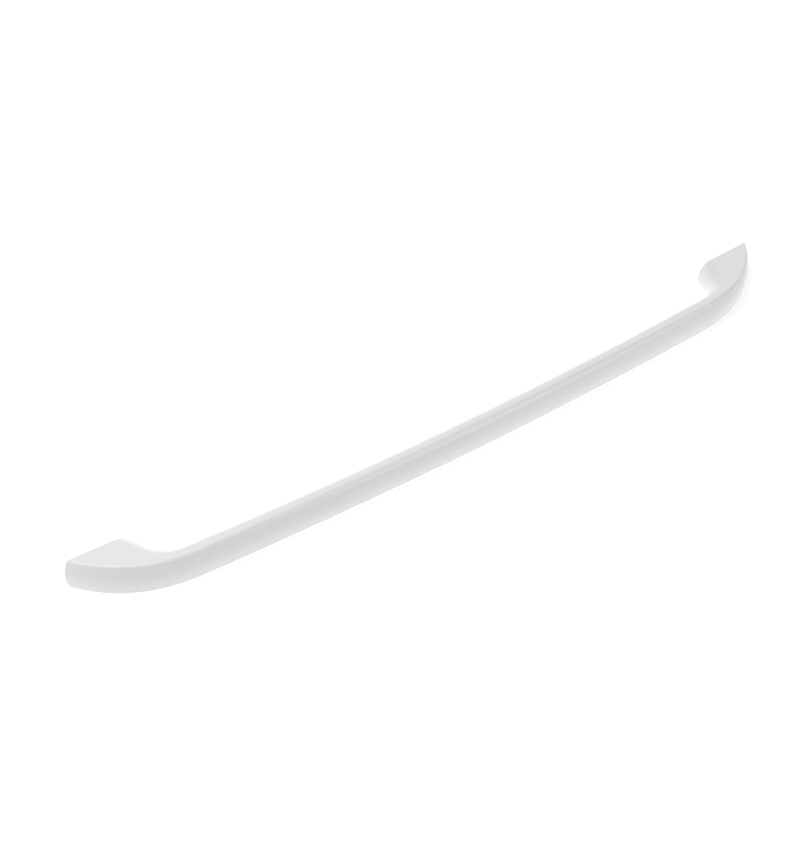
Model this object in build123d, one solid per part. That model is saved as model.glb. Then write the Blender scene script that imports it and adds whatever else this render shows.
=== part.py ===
from build123d import *
from math import asin, cos, degrees, radians, sin, tan
import os

# Oven door handle, in millimetres. X runs along the handle, +Y points at the door and Z is up.
# The origin is midway between the two screws, level with the mouths of their inserts.

# Whole handle
overall_length = 744.0
handle_height = 29.5
projection = 62.1  # from the inserts' mouths out to the foremost point of the grip

# Front outline: a long bow, then a shoulder and an end arc on each side
bow_radius = 4400.0
swept_length = 97.8  # length of one swept end, from the bow to the tip
shoulder_radius = 156.0
shoulder_heading = 16.9  # degrees that the outline has turned by where the shoulder ends

# Front face: a shallow crown between rounded edges, which sharpen towards the tips
front_crown = 2.8
grip_edge_radius = 6.1
tip_edge_radius = 2.0
sharpening_length = 260.0  # length before each tip over which the edges sharpen
edge_stations = 11  # sections that carry the changing edges from tip to tip

# Grip: its back is fully rounded, as half an ellipse
grip_depth = 19.0
grip_rounding = 8.0

# Feet
foot_length = 63.0  # along the door at mid-height, from the finger gap to the tip
flank_flare = 17.5  # degrees that a foot's inner flank spreads by towards the door
finger_corner_radius = 24.6
foot_rounding = 13.9  # the grip's rounding deepens to this at the mounting face
face_tilt = 2.2  # degrees that each mounting face turns back by, to lie on a bowed door

# Threaded inserts for M5 screws, closed at the inner end
screw_inset = 32.0  # from each tip to the screw beside it
screw_spacing = overall_length - 2 * screw_inset
insert_radius = 4.0
insert_length = 12.0
insert_setback = 0.3  # the brass ends this far under the mounting face, on the screw's axis
insert_chamfer = 0.5
thread_core_radius = 2.1
thread_depth = 10.0
thread_mouth_chamfer = 0.4
groove_width = 2.4
groove_depth = 0.8
knurl_depth = 0.35
knurl_teeth = 16


def door_line(x):
    # Y of the mounting faces, which pass just over the mouth of each insert
    return insert_setback + (abs(x) - screw_spacing / 2) * tan(radians(face_tilt))


def mirrored(edge):
    return edge.mirror(Plane.YZ)


# Front outline at mid-height, from the middle to the right tip and on past it
half_length = overall_length / 2
bow_turn = degrees(asin((half_length - swept_length) / bow_radius))
bow = JernArc((0, -projection), (1, 0), bow_radius, bow_turn)
shoulder = JernArc(bow @ 1, bow % 1, shoulder_radius, shoulder_heading - bow_turn)
tip = Vector(half_length, door_line(half_length))
end_arc = TangentArc(shoulder @ 1, tip, tangent=shoulder % 1)
past_tip = JernArc(end_arc @ 1, end_arc % 1, end_arc.radius, shoulder_heading / 2)
right_front = [bow, shoulder, end_arc, past_tip]
form_depth = -(bow @ 1).Y  # far enough back to reach the door all along


def edge_radius(x):
    # Eases from the grip's soft edges to the crisp ones at the tips
    share = (abs(x) - half_length + sharpening_length) / sharpening_length
    share = min(max(share, 0), 1)
    eased = share * share * (3 - 2 * share)
    return grip_edge_radius + (tip_edge_radius - grip_edge_radius) * eased


def front_section(radius):
    # Crowned face at the front, with rounded edges, and square at the back
    top = handle_height / 2
    crown = ThreePointArc((-front_crown, -top), (0, 0), (-front_crown, top))
    back = Polyline((-front_crown, top), (-form_depth, top), (-form_depth, -top), (-front_crown, -top))
    section = make_face([crown, back])
    return fillet(section.vertices().group_by(Axis.X)[-1], radius)


def front_form():
    # The front section, carried along the outline with its changing edges
    spine = Wire([mirrored(edge) for edge in reversed(right_front)] + right_front)
    sections = []
    for number in range(edge_stations):
        place = number / (edge_stations - 1)
        point = spine @ place
        heading = spine % place
        outward = Vector(heading.Y / heading.X, -1)
        plane = Plane(origin=point, x_dir=outward, z_dir=heading)
        sections.append(plane * front_section(edge_radius(point.X)))
    return sweep(sections, path=spine, multisection=True)


def rear_outline():
    # Back of the grip, then the right-hand corner and the foot's flank, run on past the door
    bow_centre = Vector(0, bow_radius - projection)
    corner_track = CenterArc(bow_centre, bow_radius - grip_depth - finger_corner_radius, -90, 2 * bow_turn)
    flare = radians(flank_flare)
    along = Vector(sin(flare), cos(flare))
    into_gap = Vector(-cos(flare), sin(flare))
    foot_x = half_length - foot_length
    flank_foot = Vector(foot_x, door_line(foot_x))
    corner_line = Line(
        flank_foot + into_gap * finger_corner_radius - along * projection,
        flank_foot + into_gap * finger_corner_radius + along * projection,
    )
    corner_centre = (corner_track & corner_line).vertex().center()
    flank_start = corner_centre - into_gap * finger_corner_radius
    flank = Line(flank_start, flank_foot + along * foot_length)
    ray = (corner_centre - bow_centre).normalized()
    grip_turn = degrees(asin(ray.X))
    corner = CenterArc(corner_centre, finger_corner_radius, -90 + grip_turn, 90 - grip_turn - flank_flare)
    grip_back = CenterArc(bow_centre, bow_radius - grip_depth, -90 - grip_turn, 2 * grip_turn)
    return grip_back, corner, flank, flank_foot


def rear_section(place, heading, rounding):
    # A bullet that lies across the outline, with its round nose towards the fingers
    top = handle_height / 2
    reach = foot_length + grip_depth
    nose = EllipticalCenterArc((-rounding, 0), rounding, top, start_angle=-90, arc_size=180)
    rest = Polyline((-rounding, top), (-reach, top), (-reach, -top), (-rounding, -top))
    into_gap = Vector(-heading.Y, heading.X)
    return Plane(origin=place, x_dir=into_gap, z_dir=heading) * make_face([nose, rest])


def rear_form():
    # The bullet carried round the finger gap, its nose deepening steadily from the grip to the door
    grip_back, corner, flank, flank_foot = rear_outline()
    grip = sweep(rear_section(grip_back @ 0, grip_back % 0, grip_rounding), path=grip_back)
    door_distance = corner.length + (flank_foot - flank @ 0).length
    deepening = (foot_rounding - grip_rounding) / door_distance
    last_rounding = grip_rounding + deepening * (corner.length + flank.length)
    ends = [
        rear_section(corner @ 0, corner % 0, grip_rounding),
        rear_section(flank @ 1, flank % 1, last_rounding),
    ]
    side = sweep(ends, path=Wire([corner, flank]), multisection=True)
    far = overall_length
    door = Polyline(
        (-far, door_line(far)), (0, door_line(0)), (far, door_line(far)), (far, far), (-far, far), close=True
    )
    return grip + side + side.mirror(Plane.YZ) - extrude(make_face(door), handle_height, both=True)


def insert_blank():
    # The turned outside of an insert, with its mouth at Z = 0 and its closed end below
    blank = Cylinder(insert_radius, insert_length, align=(Align.CENTER, Align.CENTER, Align.MAX))
    blank = chamfer(blank.faces().sort_by(Axis.Z)[0].edges(), insert_chamfer)
    ring = Cylinder(insert_radius, groove_width) - Cylinder(insert_radius - groove_depth, groove_width)
    return blank - Pos(0, 0, -insert_length / 2) * ring


def insert():
    thread = Cylinder(thread_core_radius, thread_depth, align=(Align.CENTER, Align.CENTER, Align.MAX))
    solid = insert_blank() - thread
    mouth = solid.faces().sort_by(Axis.Z)[-1].edges().sort_by(SortBy.RADIUS)[0]
    solid = chamfer(mouth, thread_mouth_chamfer)
    cutter = Pos(insert_radius, 0, -insert_length / 2) * Rot(0, 0, 45)
    cutter = cutter * Box(knurl_depth * 2**0.5, knurl_depth * 2**0.5, insert_length)
    return solid - PolarLocations(0, knurl_teeth) * cutter


def insert_place(side):
    return Plane(origin=(side * screw_spacing / 2, 0, 0), x_dir=(side, 0, 0), z_dir=(0, 1, 0))


def handle_body():
    body = rear_form() & front_form()
    mouth = Cylinder(insert_radius, handle_height, align=(Align.CENTER, Align.CENTER, Align.MIN))
    for side in (-1, 1):
        body -= insert_place(side) * (insert_blank() + mouth)
    return body


os.makedirs("parts", exist_ok=True)
export_step(handle_body(), "parts/handle_body.step")
for name, side in (("insert_left", -1), ("insert_right", 1)):
    export_step(insert_place(side) * insert(), f"parts/{name}.step")
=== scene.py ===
import bpy
from functools import partial
from math import asin, atan2, cos, degrees, pi, radians, sin, sqrt, tan
from mathutils import Matrix, Vector


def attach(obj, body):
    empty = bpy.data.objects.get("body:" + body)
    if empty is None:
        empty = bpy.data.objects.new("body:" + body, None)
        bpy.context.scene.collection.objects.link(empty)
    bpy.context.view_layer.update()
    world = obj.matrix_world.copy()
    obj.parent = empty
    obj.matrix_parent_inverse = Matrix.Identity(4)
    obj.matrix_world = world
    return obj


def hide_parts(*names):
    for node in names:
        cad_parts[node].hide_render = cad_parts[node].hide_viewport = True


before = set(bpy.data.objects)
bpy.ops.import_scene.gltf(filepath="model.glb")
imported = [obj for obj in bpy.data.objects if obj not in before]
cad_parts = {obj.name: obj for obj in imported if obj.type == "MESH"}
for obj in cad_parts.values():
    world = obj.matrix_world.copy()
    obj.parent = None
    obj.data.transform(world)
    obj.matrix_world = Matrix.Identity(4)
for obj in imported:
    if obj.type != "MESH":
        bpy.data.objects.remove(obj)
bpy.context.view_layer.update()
mm = 0.001


# small helpers shared by every piece

def toLinear(hexColour):
    # sRGB hex to the linear colour that the shaders take
    channels = [int(hexColour[i:i + 2], 16) / 255 for i in (1, 3, 5)]
    linear = [c / 12.92 if c <= 0.04045 else ((c + 0.055) / 1.055) ** 2.4 for c in channels]
    return (*linear, 1.0)


def addNode(tree, kind, inputs=None, **settings):
    # one node, its settings, and each input as a value or as the socket that feeds it;
    # an input goes by its name, or by its number where a node repeats a name
    node = tree.nodes.new(kind)
    for name, value in settings.items():
        setattr(node, name, value)
    for name, value in (inputs or {}).items():
        if isinstance(value, bpy.types.NodeSocket):
            tree.links.new(value, node.inputs[name])
        else:
            node.inputs[name].default_value = value
    return node


def newMaterial(name):
    # an empty material, and the node helper bound to its tree
    material = bpy.data.materials.new(name)
    material.use_nodes = True
    material.node_tree.nodes.clear()
    return material, partial(addNode, material.node_tree)


def newTree(name, sockets):
    # an empty Geometry Nodes tree with its named inputs, and the node helper bound to it
    tree = bpy.data.node_groups.new(name, "GeometryNodeTree")
    tree.interface.new_socket("Geometry", in_out="OUTPUT", socket_type="NodeSocketGeometry")
    for kind, names in sockets.items():
        for label in names:
            tree.interface.new_socket(label, in_out="INPUT", socket_type="NodeSocket" + kind)
    add = partial(addNode, tree)
    return tree, add, add("NodeGroupInput").outputs


def meshObject(name, vertices, faces):
    mesh = bpy.data.meshes.new(name)
    mesh.from_pydata(vertices, [], faces)
    mesh.update()
    piece = bpy.data.objects.new(name, mesh)
    bpy.context.scene.collection.objects.link(piece)
    return piece


def guideCurve(name, points):
    # straight runs through points given in mm, for a tree to sample
    curve = bpy.data.curves.new(name, "CURVE")
    curve.dimensions = "3D"
    spline = curve.splines.new("POLY")
    spline.points.add(len(points) - 1)
    for point, place in zip(spline.points, points):
        point.co = (place.x * mm, place.y * mm, 0, 1)
    guide = bpy.data.objects.new(name, curve)
    bpy.context.scene.collection.objects.link(guide)
    return guide


def addTree(piece, tree, values):
    # a Geometry Nodes modifier, its inputs set by socket identifier
    modifier = piece.modifiers.new(tree.name, "NODES")
    modifier.node_group = tree
    for socket in tree.interface.items_tree:
        if socket.name in values:
            modifier[socket.identifier] = values[socket.name]


def bakeModifiers(piece, name, material, sharpAngle):
    # the finished shape as a plain mesh in a new object, all in one material; the working one is removed
    graph = bpy.context.evaluated_depsgraph_get()
    mesh = bpy.data.meshes.new_from_object(piece.evaluated_get(graph), depsgraph=graph)
    bpy.data.objects.remove(piece)
    mesh.name = name
    mesh.shade_smooth()
    mesh.set_sharp_from_angle(angle=radians(sharpAngle))
    mesh.materials.clear()
    mesh.materials.append(material)
    baked = bpy.data.objects.new(name, mesh)
    bpy.context.scene.collection.objects.link(baked)
    return baked


def dress(piece, node):
    # the piece stands in for its CAD solid
    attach(piece, "root")
    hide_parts(node)
    print(piece.name, len(piece.data.vertices), "points")


# sizes in mm and degrees, the same form as the CAD solids

handle = {
    "length": 744.0,
    "height": 29.5,
    "projection": 62.1,
    "bowRadius": 4400.0,
    "sweptLength": 97.8,
    "shoulderRadius": 156.0,
    "shoulderHeading": 16.9,
    "crown": 2.8,
    "gripEdge": 6.1,
    "tipEdge": 2.0,
    "sharpening": 260.0,
    "gripDepth": 19.0,
    "gripRounding": 8.0,
    "footLength": 63.0,
    "flankFlare": 17.5,
    "cornerRadius": 24.6,
    "footRounding": 13.9,
    "faceTilt": 2.2,
    "screwInset": 32.0,
    "setback": 0.3,  # from the mounting face to the insert's mouth, on the screw's axis
    "pastDoor": 14.0,  # the end arcs turn on past the door by this, and are cut there
    "flankRunOn": 25.0,  # so do the flanks, by this length
    "guideSpacing": 0.8,  # between points along the guides
    "columns": 480,  # rings of points from tip to tip
    "ringPoints": 100,
    "gripColumns": 0.46,  # share of the columns that the grip gets, so that the ends are finer
    "crownShare": 0.24,  # share of the way round a ring, from front to back, at which the crown ends
    "edgeShare": 0.52,  # the same for the rounded front edge
    "noseShare": 0.64,  # where the rounded nose at the back starts
}
halfLength = handle["length"] / 2
screwX = halfLength - handle["screwInset"]

insert = {
    "radius": 4.0,
    "length": 12.0,
    "endChamfer": 0.5,
    "grooveWidth": 2.4,
    "grooveDepth": 0.8,
    "core": 2.1,
    "boreDepth": 10.0,
    "mouthChamfer": 0.4,
    "pitch": 0.8,  # M5 coarse thread
    "threadDepth": 0.4,
    "knurlTeeth": 16,
    "knurlDepth": 0.35,
    "collar": 0.8,  # left plain at the mouth
    "seatSteps": 64,  # facets round the seat in the plastic, and columns round the insert
    "seatOvershoot": 2.0,  # the seat's cutter runs out through the mounting face by this
    "rows": 264,  # along the profile, enough for each turn of the thread
}


# materials

def mouldedAbs():
    # White ABS from a polished mould: even colour, a soft broad gloss, and the faint
    # waviness that thick mouldings get as they shrink, which keeps highlights from being ruler-straight
    look = {
        "colour": "#E8E8E8",
        "roughness": (0.22, 0.27),  # drifts a little along the part, as the melt front cooled on the steel
        "ior": 1.53,
        "waveSize": 14.0,  # mm between sink waves
        "waveDepth": 0.010,  # mm
        "grainSize": 1.2,  # mm, the polish left on the steel, far coarser than the real one so that it shows
        "grainDepth": 0.0015,  # mm
    }
    material, add = newMaterial("moulded white ABS")
    place = add("ShaderNodeTexCoord").outputs["Object"]
    waveScale, grainScale = 1 / (look["waveSize"] * mm), 1 / (look["grainSize"] * mm)
    waves = add("ShaderNodeTexNoise", {"Vector": place, "Scale": waveScale, "Detail": 1.0}).outputs["Fac"]
    grain = add("ShaderNodeTexNoise", {"Vector": place, "Scale": grainScale, "Detail": 2.0}).outputs["Fac"]
    waveBump = add("ShaderNodeBump", {"Height": waves, "Distance": look["waveDepth"] * mm, "Strength": 1.0})
    grainBump = add("ShaderNodeBump", {
        "Height": grain, "Distance": look["grainDepth"] * mm, "Strength": 1.0,
        "Normal": waveBump.outputs["Normal"],
    })
    drift = add("ShaderNodeMapRange", {
        "Value": waves, "From Min": 0.3, "From Max": 0.7,  # where nearly all of the noise lies
        "To Min": look["roughness"][0], "To Max": look["roughness"][1],
    })
    shader = add("ShaderNodeBsdfPrincipled", {
        "Base Color": toLinear(look["colour"]), "Roughness": drift.outputs["Result"], "IOR": look["ior"],
        "Normal": grainBump.outputs["Normal"],
    })
    add("ShaderNodeOutputMaterial", {"Surface": shader.outputs["BSDF"]})
    return material


def turnedBrass():
    # Free-cutting brass, turned: warm metal, lightly tarnished, with fine tool rings round the screw's axis
    look = {
        "colour": "#D9B36A",
        "shade": "#C29A52",
        "roughness": 0.28,
        "tarnishSize": 1.5,  # mm
        "ringSpacing": 0.25,  # mm, coarser than the real feed marks, so that they show
        "ringDepth": 0.002,  # mm
    }
    material, add = newMaterial("turned brass")
    place = add("ShaderNodeTexCoord").outputs["Object"]
    tarnishScale, ringScale = 1 / (look["tarnishSize"] * mm), 1 / (look["ringSpacing"] * mm)
    tarnish = add("ShaderNodeTexNoise", {"Vector": place, "Scale": tarnishScale, "Detail": 3.0})
    colour = add("ShaderNodeMix", {
        0: tarnish.outputs["Fac"], 6: toLinear(look["colour"]), 7: toLinear(look["shade"]),
    }, data_type="RGBA")
    # rings depend only on the distance from the nearer screw's axis and on the depth
    spot = add("ShaderNodeSeparateXYZ", {0: place}).outputs
    reach = add("ShaderNodeMath", {0: spot["X"]}, operation="ABSOLUTE").outputs[0]
    offAxis = add("ShaderNodeMath", {0: reach, 1: screwX * mm}, operation="SUBTRACT").outputs[0]
    acrossAxis = add("ShaderNodeCombineXYZ", {"X": offAxis, "Z": spot["Z"]}).outputs[0]
    radius = add("ShaderNodeVectorMath", {0: acrossAxis}, operation="LENGTH").outputs["Value"]
    ringPlace = add("ShaderNodeCombineXYZ", {"X": radius, "Y": spot["Y"]}).outputs[0]
    rings = add("ShaderNodeTexNoise", {"Vector": ringPlace, "Scale": ringScale, "Detail": 1.0}).outputs["Fac"]
    bump = add("ShaderNodeBump", {"Height": rings, "Distance": look["ringDepth"] * mm, "Strength": 1.0})
    shader = add("ShaderNodeBsdfPrincipled", {
        "Base Color": colour.outputs[2], "Metallic": 1.0, "Roughness": look["roughness"],
        "Normal": bump.outputs["Normal"],
    })
    add("ShaderNodeOutputMaterial", {"Surface": shader.outputs["BSDF"]})
    return material


whiteAbs = mouldedAbs()
brass = turnedBrass()
print("materials ready")


# the handle's shell

def doorLine(x):
    # Y of the mounting faces at this X, in mm
    return handle["setback"] + (abs(x) - screwX) * tan(radians(handle["faceTilt"]))


def arcPoints(start, heading, radius, turn):
    # points along an arc that bends to the left, and the heading at its end (angles in degrees)
    count = max(2, round(radians(turn) * radius / handle["guideSpacing"]))
    centre = Vector(start) + Vector((-sin(radians(heading)), cos(radians(heading)))) * radius
    points = []
    for i in range(count + 1):
        angle = radians(heading + turn * i / count)
        points.append(centre + Vector((sin(angle), -cos(angle))) * radius)
    return points, heading + turn


def wholeOutline(rightHalf):
    # left half mirrored from the right, then the right half, as one run from left to right
    return [Vector((-p.x, p.y)) for p in reversed(rightHalf[1:])] + rightHalf


def frontOutline():
    # bow, shoulder and end arc on both sides, and the length of one half
    h = handle
    bowTurn = degrees(asin((halfLength - h["sweptLength"]) / h["bowRadius"]))
    points, heading = arcPoints((0, -h["projection"]), 0, h["bowRadius"], bowTurn)
    shoulder, heading = arcPoints(points[-1], heading, h["shoulderRadius"], h["shoulderHeading"] - heading)
    points += shoulder[1:]
    chord = Vector((halfLength, doorLine(halfLength))) - points[-1]
    lean = degrees(atan2(chord.y, chord.x)) - heading
    endRadius = chord.length / (2 * sin(radians(lean)))
    endTurn = 2 * lean + h["pastDoor"]
    endArc, _ = arcPoints(points[-1], heading, endRadius, endTurn)
    length = radians(bowTurn) * h["bowRadius"] + radians(endTurn) * endRadius
    length += radians(h["shoulderHeading"] - bowTurn) * h["shoulderRadius"]
    return wholeOutline(points + endArc[1:]), length


def rearOutline():
    # back of the grip, corner and flank on both sides, the grip's turn from the middle in degrees,
    # and the lengths of one half up to the grip's end and up to the door
    h = handle
    flare = radians(h["flankFlare"])
    along = Vector((sin(flare), cos(flare)))
    intoGap = Vector((-cos(flare), sin(flare)))
    footX = halfLength - h["footLength"]
    flankFoot = Vector((footX, doorLine(footX)))
    bowCentre = Vector((0, h["bowRadius"] - h["projection"]))
    gripRadius = h["bowRadius"] - h["gripDepth"]
    centreRadius = gripRadius - h["cornerRadius"]
    onLine = flankFoot + intoGap * h["cornerRadius"] - bowCentre
    forward = onLine.dot(along)
    back = forward + sqrt(forward ** 2 - onLine.length_squared + centreRadius ** 2)
    cornerCentre = bowCentre + onLine - along * back
    gripTurn = degrees(asin((cornerCentre - bowCentre).x / centreRadius))
    points, heading = arcPoints((0, h["gripDepth"] - h["projection"]), 0, gripRadius, gripTurn)
    cornerTurn = 90 - h["flankFlare"] - gripTurn
    corner, _ = arcPoints(points[-1], heading, h["cornerRadius"], cornerTurn)
    flankStart = corner[-1]
    end = flankFoot + along * h["flankRunOn"]
    count = round((end - flankStart).length / h["guideSpacing"])
    flank = [flankStart.lerp(end, i / count) for i in range(1, count + 1)]
    gripLength = radians(gripTurn) * gripRadius
    doorAt = gripLength + radians(cornerTurn) * h["cornerRadius"] + (flankFoot - flankStart).length
    return wholeOutline(points + corner[1:] + flank), gripTurn, gripLength, doorAt


def shellTree():
    # A closed tube whose rings run from the front face over the top, round the back and under.
    # The front follows one guide and the back another, each with its own section.
    tree, add, given = newTree("bowed handle shell", {
        "Object": ("Front Guide", "Rear Guide"),
        "Material": ("Material",),
        "Int": ("Columns", "Ring Points"),
        "Float": (
            "Half Height", "Crown Radius", "Grip Edge", "Tip Edge", "Sharpening Start", "Sharpening End",
            "Grip Rounding", "Foot Rounding", "Grip Columns", "Front Grip Share", "Rear Grip Share",
            "Door Share", "Crown Share", "Edge Share", "Nose Share",
        ),
    })
    tube = add("GeometryNodeMeshCylinder", {
        "Vertices": given["Ring Points"], "Side Segments": given["Columns"], "Radius": 1.0, "Depth": 2.0,
    }, fill_type="NGON")
    start = add("GeometryNodeInputPosition").outputs[0]
    spot = add("ShaderNodeSeparateXYZ", {0: start}).outputs
    # share of the way round from the front (0) to the back (1), and of the way from the middle to an end
    turn = add("ShaderNodeMath", {0: spot["Y"], 1: spot["X"]}, operation="ARCTAN2").outputs[0]
    side = add("ShaderNodeMath", {0: turn}, operation="SIGN").outputs[0]
    turnSize = add("ShaderNodeMath", {0: turn}, operation="ABSOLUTE").outputs[0]
    around = add("ShaderNodeMath", {0: turnSize, 1: pi}, operation="DIVIDE").outputs[0]
    end = add("ShaderNodeMath", {0: spot["Z"]}, operation="SIGN").outputs[0]
    outwards = add("ShaderNodeMath", {0: spot["Z"]}, operation="ABSOLUTE").outputs[0]
    shares, samples = [], []
    for guide, gripShare in (("Front Guide", "Front Grip Share"), ("Rear Guide", "Rear Grip Share")):
        # the grip's columns pair at equal X, and the end's columns share out what is left of each guide
        rest = add("ShaderNodeMath", {0: 1.0, 1: given[gripShare]}, operation="SUBTRACT").outputs[0]
        onGrip = add("ShaderNodeMapRange", {
            "Value": outwards, "From Min": 0.0, "From Max": given["Grip Columns"],
            "To Min": 0.0, "To Max": given[gripShare],
        }).outputs["Result"]
        onEnd = add("ShaderNodeMapRange", {
            "Value": outwards, "From Min": given["Grip Columns"], "From Max": 1.0,
            "To Min": 0.0, "To Max": rest,
        }).outputs["Result"]
        share = add("ShaderNodeMath", {0: onGrip, 1: onEnd}, operation="ADD").outputs[0]
        signed = add("ShaderNodeMath", {0: share, 1: end}, operation="MULTIPLY").outputs[0]
        factor = add("ShaderNodeMath", {0: signed, 1: 0.5, 2: 0.5}, operation="MULTIPLY_ADD").outputs[0]
        curve = add("GeometryNodeObjectInfo", {"Object": given[guide]}).outputs["Geometry"]
        sample = add("GeometryNodeSampleCurve", {"Curves": curve, "Factor": factor},
                     mode="FACTOR", use_all_curves=True)
        shares.append(share)
        samples.append(sample.outputs)
    front, rear = samples
    up = (0, 0, 1)
    frontIn = add("ShaderNodeVectorMath", {0: up, 1: front["Tangent"]}, operation="CROSS_PRODUCT").outputs[0]
    rearIn = add("ShaderNodeVectorMath", {0: rear["Tangent"], 1: up}, operation="CROSS_PRODUCT").outputs[0]

    # front section: a crown arc, then an edge arc whose radius eases from the grip to the tip
    frontX = add("ShaderNodeSeparateXYZ", {0: front["Position"]}).outputs["X"]
    reach = add("ShaderNodeMath", {0: frontX}, operation="ABSOLUTE").outputs[0]
    edge = add("ShaderNodeMapRange", {
        "Value": reach, "From Min": given["Sharpening Start"], "From Max": given["Sharpening End"],
        "To Min": given["Grip Edge"], "To Max": given["Tip Edge"],
    }, interpolation_type="SMOOTHSTEP").outputs["Result"]
    edgeZ = add("ShaderNodeMath", {0: given["Half Height"], 1: edge}, operation="SUBTRACT").outputs[0]
    slack = add("ShaderNodeMath", {0: given["Crown Radius"], 1: edge}, operation="SUBTRACT").outputs[0]
    ratio = add("ShaderNodeMath", {0: edgeZ, 1: slack}, operation="DIVIDE").outputs[0]
    meet = add("ShaderNodeMath", {0: ratio}, operation="ARCSINE").outputs[0]
    meetCos = add("ShaderNodeMath", {0: meet}, operation="COSINE").outputs[0]
    back = add("ShaderNodeMath", {0: slack, 1: meetCos}, operation="MULTIPLY").outputs[0]
    edgeDepth = add("ShaderNodeMath", {0: given["Crown Radius"], 1: back}, operation="SUBTRACT").outputs[0]
    crownAngle = add("ShaderNodeMapRange", {
        "Value": around, "From Min": 0.0, "From Max": given["Crown Share"], "To Min": 0.0, "To Max": meet,
    }).outputs["Result"]
    edgeTurn = add("ShaderNodeMath", {0: pi / 2, 1: meet}, operation="SUBTRACT").outputs[0]
    edgeAngle = add("ShaderNodeMapRange", {
        "Value": around, "From Min": given["Crown Share"], "From Max": given["Edge Share"],
        "To Min": 0.0, "To Max": edgeTurn,
    }).outputs["Result"]
    angle = add("ShaderNodeMath", {0: crownAngle, 1: edgeAngle}, operation="ADD").outputs[0]
    onEdge = add("ShaderNodeMath", {0: around, 1: given["Crown Share"]}, operation="GREATER_THAN").outputs[0]
    radius = add("ShaderNodeMix", {0: onEdge, 2: given["Crown Radius"], 3: edge}).outputs[0]
    centreDepth = add("ShaderNodeMix", {0: onEdge, 2: given["Crown Radius"], 3: edgeDepth}).outputs[0]
    centreZ = add("ShaderNodeMath", {0: onEdge, 1: edgeZ}, operation="MULTIPLY").outputs[0]
    angleCos = add("ShaderNodeMath", {0: angle}, operation="COSINE").outputs[0]
    angleSin = add("ShaderNodeMath", {0: angle}, operation="SINE").outputs[0]
    inwards = add("ShaderNodeMath", {0: radius, 1: angleCos}, operation="MULTIPLY").outputs[0]
    frontDepth = add("ShaderNodeMath", {0: centreDepth, 1: inwards}, operation="SUBTRACT").outputs[0]
    frontZ = add("ShaderNodeMath", {0: radius, 1: angleSin, 2: centreZ}, operation="MULTIPLY_ADD").outputs[0]

    # rear section: half an ellipse, deeper at the feet than in the grip
    nose = add("ShaderNodeMapRange", {
        "Value": shares[1], "From Min": given["Rear Grip Share"], "From Max": given["Door Share"],
        "To Min": given["Grip Rounding"], "To Max": given["Foot Rounding"],
    }, clamp=False).outputs["Result"]
    nose = add("ShaderNodeMath", {0: nose, 1: given["Grip Rounding"]}, operation="MAXIMUM").outputs[0]
    noseAngle = add("ShaderNodeMapRange", {
        "Value": around, "From Min": given["Nose Share"], "From Max": 1.0, "To Min": pi / 2, "To Max": 0.0,
    }).outputs["Result"]
    noseCos = add("ShaderNodeMath", {0: noseAngle}, operation="COSINE").outputs[0]
    noseSin = add("ShaderNodeMath", {0: noseAngle}, operation="SINE").outputs[0]
    kept = add("ShaderNodeMath", {0: 1.0, 1: noseCos}, operation="SUBTRACT").outputs[0]
    rearDepth = add("ShaderNodeMath", {0: nose, 1: kept}, operation="MULTIPLY").outputs[0]
    rearZ = add("ShaderNodeMath", {0: noseSin, 1: given["Half Height"]}, operation="MULTIPLY").outputs[0]

    # each section's point, set in from its guide and lifted to the top half or the lower one
    points = []
    for guide, inward, depth, height in (
        (front, frontIn, frontDepth, frontZ),
        (rear, rearIn, rearDepth, rearZ),
    ):
        setIn = add("ShaderNodeVectorMath", {0: inward, "Scale": depth}, operation="SCALE").outputs[0]
        point = add("ShaderNodeVectorMath", {0: setIn, 1: guide["Position"]}, operation="ADD").outputs[0]
        lift = add("ShaderNodeMath", {0: height, 1: side}, operation="MULTIPLY").outputs[0]
        rise = add("ShaderNodeCombineXYZ", {"Z": lift}).outputs[0]
        points.append(add("ShaderNodeVectorMath", {0: point, 1: rise}, operation="ADD").outputs[0])

    # flat top and underside between the two; eased twice, so rows lie close to both borders
    across = add("ShaderNodeMapRange", {
        "Value": around, "From Min": given["Edge Share"], "From Max": given["Nose Share"],
    }, interpolation_type="SMOOTHERSTEP").outputs["Result"]
    across = add("ShaderNodeMapRange", {"Value": across}, interpolation_type="SMOOTHERSTEP").outputs["Result"]
    place = add("ShaderNodeMix", {0: across, 4: points[0], 5: points[1]}, data_type="VECTOR").outputs[1]
    moved = add("GeometryNodeSetPosition", {"Geometry": tube.outputs["Mesh"], "Position": place})
    solid = add("GeometryNodeRealizeInstances", {"Geometry": moved.outputs[0]})
    clad = add("GeometryNodeSetMaterial", {"Geometry": solid.outputs[0], "Material": given["Material"]})
    add("NodeGroupOutput", {"Geometry": clad.outputs[0]})
    return tree


def doorBlock():
    # everything behind the two mounting faces, which meet at a shallow V in the middle
    far, high, deep = 420.0, 30.0, 90.0  # mm, all well clear of the handle
    outline = [(-far, doorLine(far)), (0, doorLine(0)), (far, doorLine(far)), (far, deep), (-far, deep)]
    count = len(outline)
    vertices = [(x * mm, y * mm, z * mm) for z in (-high, high) for x, y in outline]
    sides = [(i, (i + 1) % count, (i + 1) % count + count, i + count) for i in range(count)]
    ends = [tuple(reversed(range(count))), tuple(range(count, 2 * count))]
    return meshObject("doorBlock", vertices, ends + sides)


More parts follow.
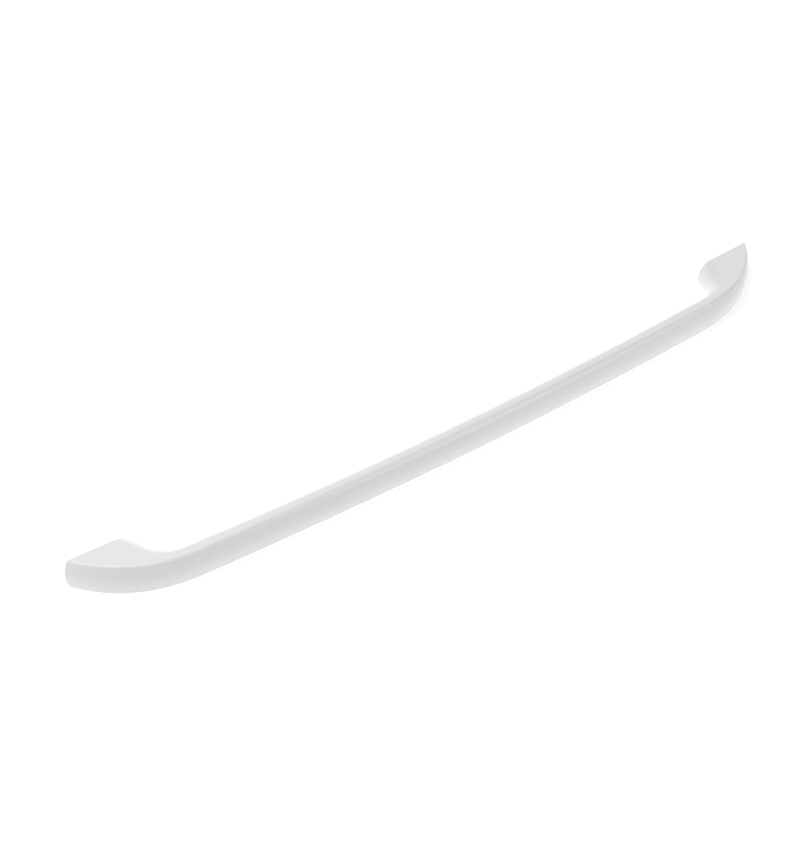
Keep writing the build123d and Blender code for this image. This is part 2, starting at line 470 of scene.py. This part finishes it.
def seatBlock(side):
    # the round hole that an insert is moulded into, run out through the mounting face
    steps = insert["seatSteps"]
    vertices = []
    for depth in (-insert["seatOvershoot"], insert["length"]):
        for k in range(steps):
            angle = 2 * pi * k / steps
            x, z = side * screwX + insert["radius"] * cos(angle), insert["radius"] * sin(angle)
            vertices.append((x * mm, -depth * mm, z * mm))
    wall = [(k, (k + 1) % steps, (k + 1) % steps + steps, k + steps) for k in range(steps)]
    ends = [tuple(reversed(range(steps))), tuple(range(steps, 2 * steps))]
    return meshObject("seatBlock", vertices, ends + wall)


def makeShell():
    h = handle
    frontPoints, frontLength = frontOutline()
    rearPoints, gripTurn, gripLength, doorAt = rearOutline()
    rearLength = doorAt + h["flankRunOn"]
    guides = [guideCurve("frontGuide", frontPoints), guideCurve("rearGuide", rearPoints)]
    half = h["height"] / 2
    values = {
        "Front Guide": guides[0], "Rear Guide": guides[1], "Material": whiteAbs,
        "Columns": h["columns"], "Ring Points": h["ringPoints"], "Grip Columns": h["gripColumns"],
        "Half Height": half * mm, "Crown Radius": (half ** 2 + h["crown"] ** 2) / (2 * h["crown"]) * mm,
        "Grip Edge": h["gripEdge"] * mm, "Tip Edge": h["tipEdge"] * mm,
        "Sharpening Start": (halfLength - h["sharpening"]) * mm, "Sharpening End": halfLength * mm,
        "Grip Rounding": h["gripRounding"] * mm, "Foot Rounding": h["footRounding"] * mm,
        "Front Grip Share": radians(gripTurn) * h["bowRadius"] / frontLength,
        "Rear Grip Share": gripLength / rearLength, "Door Share": doorAt / rearLength,
        "Crown Share": h["crownShare"], "Edge Share": h["edgeShare"], "Nose Share": h["noseShare"],
    }
    work = meshObject("shellWork", [], [])
    addTree(work, shellTree(), values)
    cutters = [doorBlock(), seatBlock(-1), seatBlock(1)]
    for cutter in cutters:
        cut = work.modifiers.new("cut", "BOOLEAN")
        cut.operation = "DIFFERENCE"
        cut.solver = "EXACT"
        cut.object = cutter
    sharpAngle = 32  # degrees, so that only the rims of the mounting faces and seats are sharp
    shell = bakeModifiers(work, "handleShell", whiteAbs, sharpAngle)
    for helper in guides + cutters:
        bpy.data.objects.remove(helper)
    return shell


dress(makeShell(), "handle_body")


# the threaded inserts

def insertProfile():
    # radius and depth from the closed end, along the outside, over the mouth and down the bore
    i = insert
    low, high = (i["length"] - i["grooveWidth"]) / 2, (i["length"] + i["grooveWidth"]) / 2
    waist, bevel, lip = i["radius"] - i["grooveDepth"], i["endChamfer"], i["mouthChamfer"]
    outside = [
        (0, i["length"]), (i["radius"] - bevel, i["length"]), (i["radius"], i["length"] - bevel),
        (i["radius"], high), (waist, high), (waist, low), (i["radius"], low), (i["radius"], 0),
    ]
    bore = [(i["core"] + lip, 0), (i["core"], lip), (i["core"], i["boreDepth"]), (0, i["boreDepth"])]
    return [Vector(point) for point in outside + bore]


def insertTree():
    # A profile turned round the screw's axis; a triangle wave cuts the thread in the bore, another the knurl
    tree, add, given = newTree("threaded insert", {
        "Object": ("Profile",),
        "Material": ("Material",),
        "Int": ("Rows", "Columns"),
        "Float": (
            "Screw Place", "Core", "Radius", "Pitch", "Thread Depth", "Knurl Teeth", "Knurl Depth", "Collar",
        ),
    })
    closeness = 0.01 * mm  # for telling the bore's wall and the outside from the rest of the profile
    crest = 0.5  # a wave of one pitch or one tooth climbs to this, so its depth is divided by it
    tube = add("GeometryNodeMeshCylinder", {
        "Vertices": given["Columns"], "Side Segments": given["Rows"], "Radius": 1.0, "Depth": 2.0,
    }, fill_type="NONE")
    start = add("GeometryNodeInputPosition").outputs[0]
    spot = add("ShaderNodeSeparateXYZ", {0: start}).outputs
    turn = add("ShaderNodeMath", {0: spot["Y"], 1: spot["X"]}, operation="ARCTAN2").outputs[0]
    share = add("ShaderNodeMath", {0: turn, 1: 2 * pi}, operation="DIVIDE").outputs[0]
    factor = add("ShaderNodeMath", {0: spot["Z"], 1: 0.5, 2: 0.5}, operation="MULTIPLY_ADD").outputs[0]
    curve = add("GeometryNodeObjectInfo", {"Object": given["Profile"]}).outputs["Geometry"]
    sample = add("GeometryNodeSampleCurve", {"Curves": curve, "Factor": factor},
                 mode="FACTOR", use_all_curves=True)
    profile = add("ShaderNodeSeparateXYZ", {0: sample.outputs["Position"]}).outputs

    # the thread: only on the bore's wall, where the radius is the core's
    turns = add("ShaderNodeMath", {0: profile["Y"], 1: given["Pitch"]}, operation="DIVIDE").outputs[0]
    phase = add("ShaderNodeMath", {0: turns, 1: share}, operation="SUBTRACT").outputs[0]
    wave = add("ShaderNodeMath", {0: phase, 1: crest}, operation="PINGPONG").outputs[0]
    wall = add("ShaderNodeMath", {
        0: profile["X"], 1: given["Core"], 2: closeness,
    }, operation="COMPARE").outputs[0]
    cut = add("ShaderNodeMath", {0: wave, 1: given["Thread Depth"]}, operation="MULTIPLY").outputs[0]
    cut = add("ShaderNodeMath", {0: cut, 1: 1 / crest}, operation="MULTIPLY").outputs[0]
    threaded = add("ShaderNodeMath", {
        0: cut, 1: wall, 2: profile["X"],
    }, operation="MULTIPLY_ADD").outputs[0]

    # the knurl: only on the outside, below the plain collar
    teeth = add("ShaderNodeMath", {0: share, 1: given["Knurl Teeth"]}, operation="MULTIPLY").outputs[0]
    ridge = add("ShaderNodeMath", {0: teeth, 1: crest}, operation="PINGPONG").outputs[0]
    outside = add("ShaderNodeMath", {
        0: profile["X"], 1: given["Radius"], 2: closeness,
    }, operation="COMPARE").outputs[0]
    below = add("ShaderNodeMath", {
        0: profile["Y"], 1: given["Collar"],
    }, operation="GREATER_THAN").outputs[0]
    knurled = add("ShaderNodeMath", {0: outside, 1: below}, operation="MULTIPLY").outputs[0]
    notch = add("ShaderNodeMath", {0: ridge, 1: given["Knurl Depth"]}, operation="MULTIPLY").outputs[0]
    notch = add("ShaderNodeMath", {0: notch, 1: -1 / crest}, operation="MULTIPLY").outputs[0]
    radius = add("ShaderNodeMath", {0: notch, 1: knurled, 2: threaded}, operation="MULTIPLY_ADD").outputs[0]

    turnCos = add("ShaderNodeMath", {0: turn}, operation="COSINE").outputs[0]
    turnSin = add("ShaderNodeMath", {0: turn}, operation="SINE").outputs[0]
    x = add("ShaderNodeMath", {
        0: radius, 1: turnCos, 2: given["Screw Place"],
    }, operation="MULTIPLY_ADD").outputs[0]
    y = add("ShaderNodeMath", {0: profile["Y"], 1: -1.0}, operation="MULTIPLY").outputs[0]
    z = add("ShaderNodeMath", {0: radius, 1: turnSin}, operation="MULTIPLY").outputs[0]
    place = add("ShaderNodeCombineXYZ", {"X": x, "Y": y, "Z": z}).outputs[0]
    moved = add("GeometryNodeSetPosition", {"Geometry": tube.outputs["Mesh"], "Position": place})
    poleReach = 0.002 * mm  # the end rings shrink to a point, which is merged
    closed = add("GeometryNodeMergeByDistance", {"Geometry": moved.outputs[0], "Distance": poleReach})
    # the profile runs backwards along the tube, so its faces are turned to look outwards
    outward = add("GeometryNodeFlipFaces", {"Mesh": closed.outputs[0]})
    solid = add("GeometryNodeRealizeInstances", {"Geometry": outward.outputs[0]})
    clad = add("GeometryNodeSetMaterial", {"Geometry": solid.outputs[0], "Material": given["Material"]})
    add("NodeGroupOutput", {"Geometry": clad.outputs[0]})
    return tree


def makeInsert(name, side, tree, profile):
    i = insert
    values = {
        "Profile": profile, "Material": brass, "Rows": i["rows"], "Columns": i["seatSteps"],
        "Screw Place": side * screwX * mm, "Core": i["core"] * mm, "Radius": i["radius"] * mm,
        "Pitch": i["pitch"] * mm, "Thread Depth": i["threadDepth"] * mm, "Collar": i["collar"] * mm,
        "Knurl Teeth": float(i["knurlTeeth"]), "Knurl Depth": i["knurlDepth"] * mm,
    }
    work = meshObject(name + "Work", [], [])
    addTree(work, tree, values)
    sharpAngle = 30  # degrees, which keeps the thread's crests and the knurl crisp
    return bakeModifiers(work, name, brass, sharpAngle)


insertGuide = guideCurve("insertGuide", insertProfile())
turnedTree = insertTree()
for name, node, side in (("leftInsert", "insert_left", -1), ("rightInsert", "insert_right", 1)):
    dress(makeInsert(name, side, turnedTree, insertGuide), node)
bpy.data.objects.remove(insertGuide)
print("handle ready")


# floor, light and camera

stage = {
    "floorColour": "#CBCBCB",
    "floorReach": 1.6,  # metres from the middle to an edge, near enough to be evenly lit
    "floorSeen": 0.63,  # added for the camera, so that the ground is white and keeps a light shadow
    "floorShine": 0.82,  # added for reflections
    "floorGlow": 0.68,  # what a lit table gives the undersides
    "windows": {  # brightness, degrees to the right of straight ahead of the grip, and degrees up
        "front window": (0.43, 0, 10),
        "right rear window": (1.52, 135, 10),
    },
    "windowReach": 40,  # degrees from a window's middle to where it has faded out
    "lamps": {  # square softboxes: watts, side in metres, colour, and where it hangs in metres
        "overhead softbox": (17.5, 0.7, "#FFFFFF", (-0.1, 0.22, 2.4)),
        "left softbox": (23.9, 1.4, "#F8FBFF", (-1.3, 0.2, 2.0)),
        "left rear softbox": (15.7, 1.4, "#F8FBFF", (-1.7, 1.3, 1.3)),
        "right front softbox": (13.7, 1.4, "#FFF9F1", (1.4, -1.8, 1.0)),
    },
}


def makeFloor():
    # a board level with the underside of the handle, which takes its shadow
    reach, low = stage["floorReach"], -handle["height"] / 2 * mm
    corners = [(-reach, -reach, low), (reach, -reach, low), (reach, reach, low), (-reach, reach, low)]
    floor = meshObject("floor", corners, [(0, 1, 2, 3)])
    material, add = newMaterial("matt white board")
    board = add("ShaderNodeBsdfDiffuse", {"Color": toLinear(stage["floorColour"])})
    ray = add("ShaderNodeLightPath").outputs
    mirrored = add("ShaderNodeMath", {
        0: ray["Is Glossy Ray"], 1: ray["Is Transmission Ray"],
    }, operation="MAXIMUM").outputs[0]
    strength = add("ShaderNodeMix", {0: mirrored, 2: stage["floorGlow"], 3: stage["floorShine"]}).outputs[0]
    strength = add("ShaderNodeMix", {
        0: ray["Is Camera Ray"], 2: strength, 3: stage["floorSeen"],
    }).outputs[0]
    glow = add("ShaderNodeEmission", {"Strength": strength})
    both = add("ShaderNodeAddShader", {0: board.outputs[0], 1: glow.outputs[0]})
    add("ShaderNodeOutputMaterial", {"Surface": both.outputs[0]})
    floor.data.materials.append(material)


def makeSky():
    # white to the camera and in reflections; the windows, soft round patches, light the object
    world = bpy.data.worlds.new("studio")
    world.use_nodes = True
    bpy.context.scene.world = world
    world.node_tree.nodes.clear()
    add = partial(addNode, world.node_tree)
    direction = add("ShaderNodeTexCoord").outputs["Generated"]
    ray = add("ShaderNodeLightPath").outputs
    light = add("ShaderNodeMath", {
        0: ray["Is Glossy Ray"], 1: ray["Is Transmission Ray"],
    }, operation="MAXIMUM").outputs[0]
    for bright, azimuth, elevation in stage["windows"].values():
        a, e = radians(azimuth), radians(elevation)
        aim = (sin(a) * cos(e), -cos(a) * cos(e), sin(e))
        nearness = add("ShaderNodeVectorMath", {0: direction, 1: aim}, operation="DOT_PRODUCT")
        window = add("ShaderNodeMapRange", {
            "Value": nearness.outputs["Value"], "From Min": cos(radians(stage["windowReach"])),
            "From Max": 1.0, "To Min": 0.0, "To Max": bright,
        }, interpolation_type="SMOOTHSTEP").outputs["Result"]
        light = add("ShaderNodeMath", {0: light, 1: window}, operation="ADD").outputs[0]
    strength = add("ShaderNodeMix", {0: ray["Is Camera Ray"], 2: light, 3: 1.0}).outputs[0]
    air = add("ShaderNodeBackground", {"Color": (1, 1, 1, 1), "Strength": strength})
    add("ShaderNodeOutputWorld", {"Surface": air.outputs[0]})


def makeLamps():
    # each softbox faces the middle of the handle
    for name, (power, side, colour, place) in stage["lamps"].items():
        softbox = bpy.data.lights.new(name, "AREA")
        softbox.shape = "SQUARE"
        softbox.size = side
        softbox.energy = power
        softbox.color = toLinear(colour)[:3]
        lamp = bpy.data.objects.new(name, softbox)
        lamp.location = place
        lamp.rotation_euler = (-lamp.location).to_track_quat("-Z", "Y").to_euler()
        bpy.context.scene.collection.objects.link(lamp)


def makeCamera():
    # the photo's camera, as it was fitted to the handle's outline
    view = {
        "azimuth": 37.9457,  # degrees, as are the next two
        "elevation": 40.1463,
        "roll": 1.3122,
        "focalPixels": 2468.59,
        "frameSide": 841,  # pixels, the photo's long side
        "distance": 2127.96,  # mm from the target, which the next three place
        "across": -47.683,
        "above": 2.87,
        "targetY": -37.93,
    }
    a, e, roll = (radians(view[k]) for k in ("azimuth", "elevation", "roll"))
    forward = Vector((sin(a) * cos(e), cos(a) * cos(e), -sin(e)))
    right = Vector((cos(a), -sin(a), 0))
    up = right.cross(forward)
    target = Vector((0, view["targetY"], 0)) + right * view["across"] + up * view["above"]
    lens = bpy.data.cameras.new("photoCamera")
    lens.sensor_fit = "AUTO"
    lens.lens = view["focalPixels"] * lens.sensor_width / view["frameSide"]
    lens.clip_start, lens.clip_end = 0.1, 30  # metres
    camera = bpy.data.objects.new("photoCamera", lens)
    bpy.context.scene.collection.objects.link(camera)
    x = right * cos(roll) + up * sin(roll)
    y = up * cos(roll) - right * sin(roll)
    turn = Matrix((x, y, -forward)).transposed()
    camera.matrix_world = Matrix.Translation((target - forward * view["distance"]) * mm) @ turn.to_4x4()
    bpy.context.scene.camera = camera


makeFloor()
makeSky()
makeLamps()
makeCamera()
bpy.context.scene.view_settings.view_transform = "Standard"
print("stage ready")
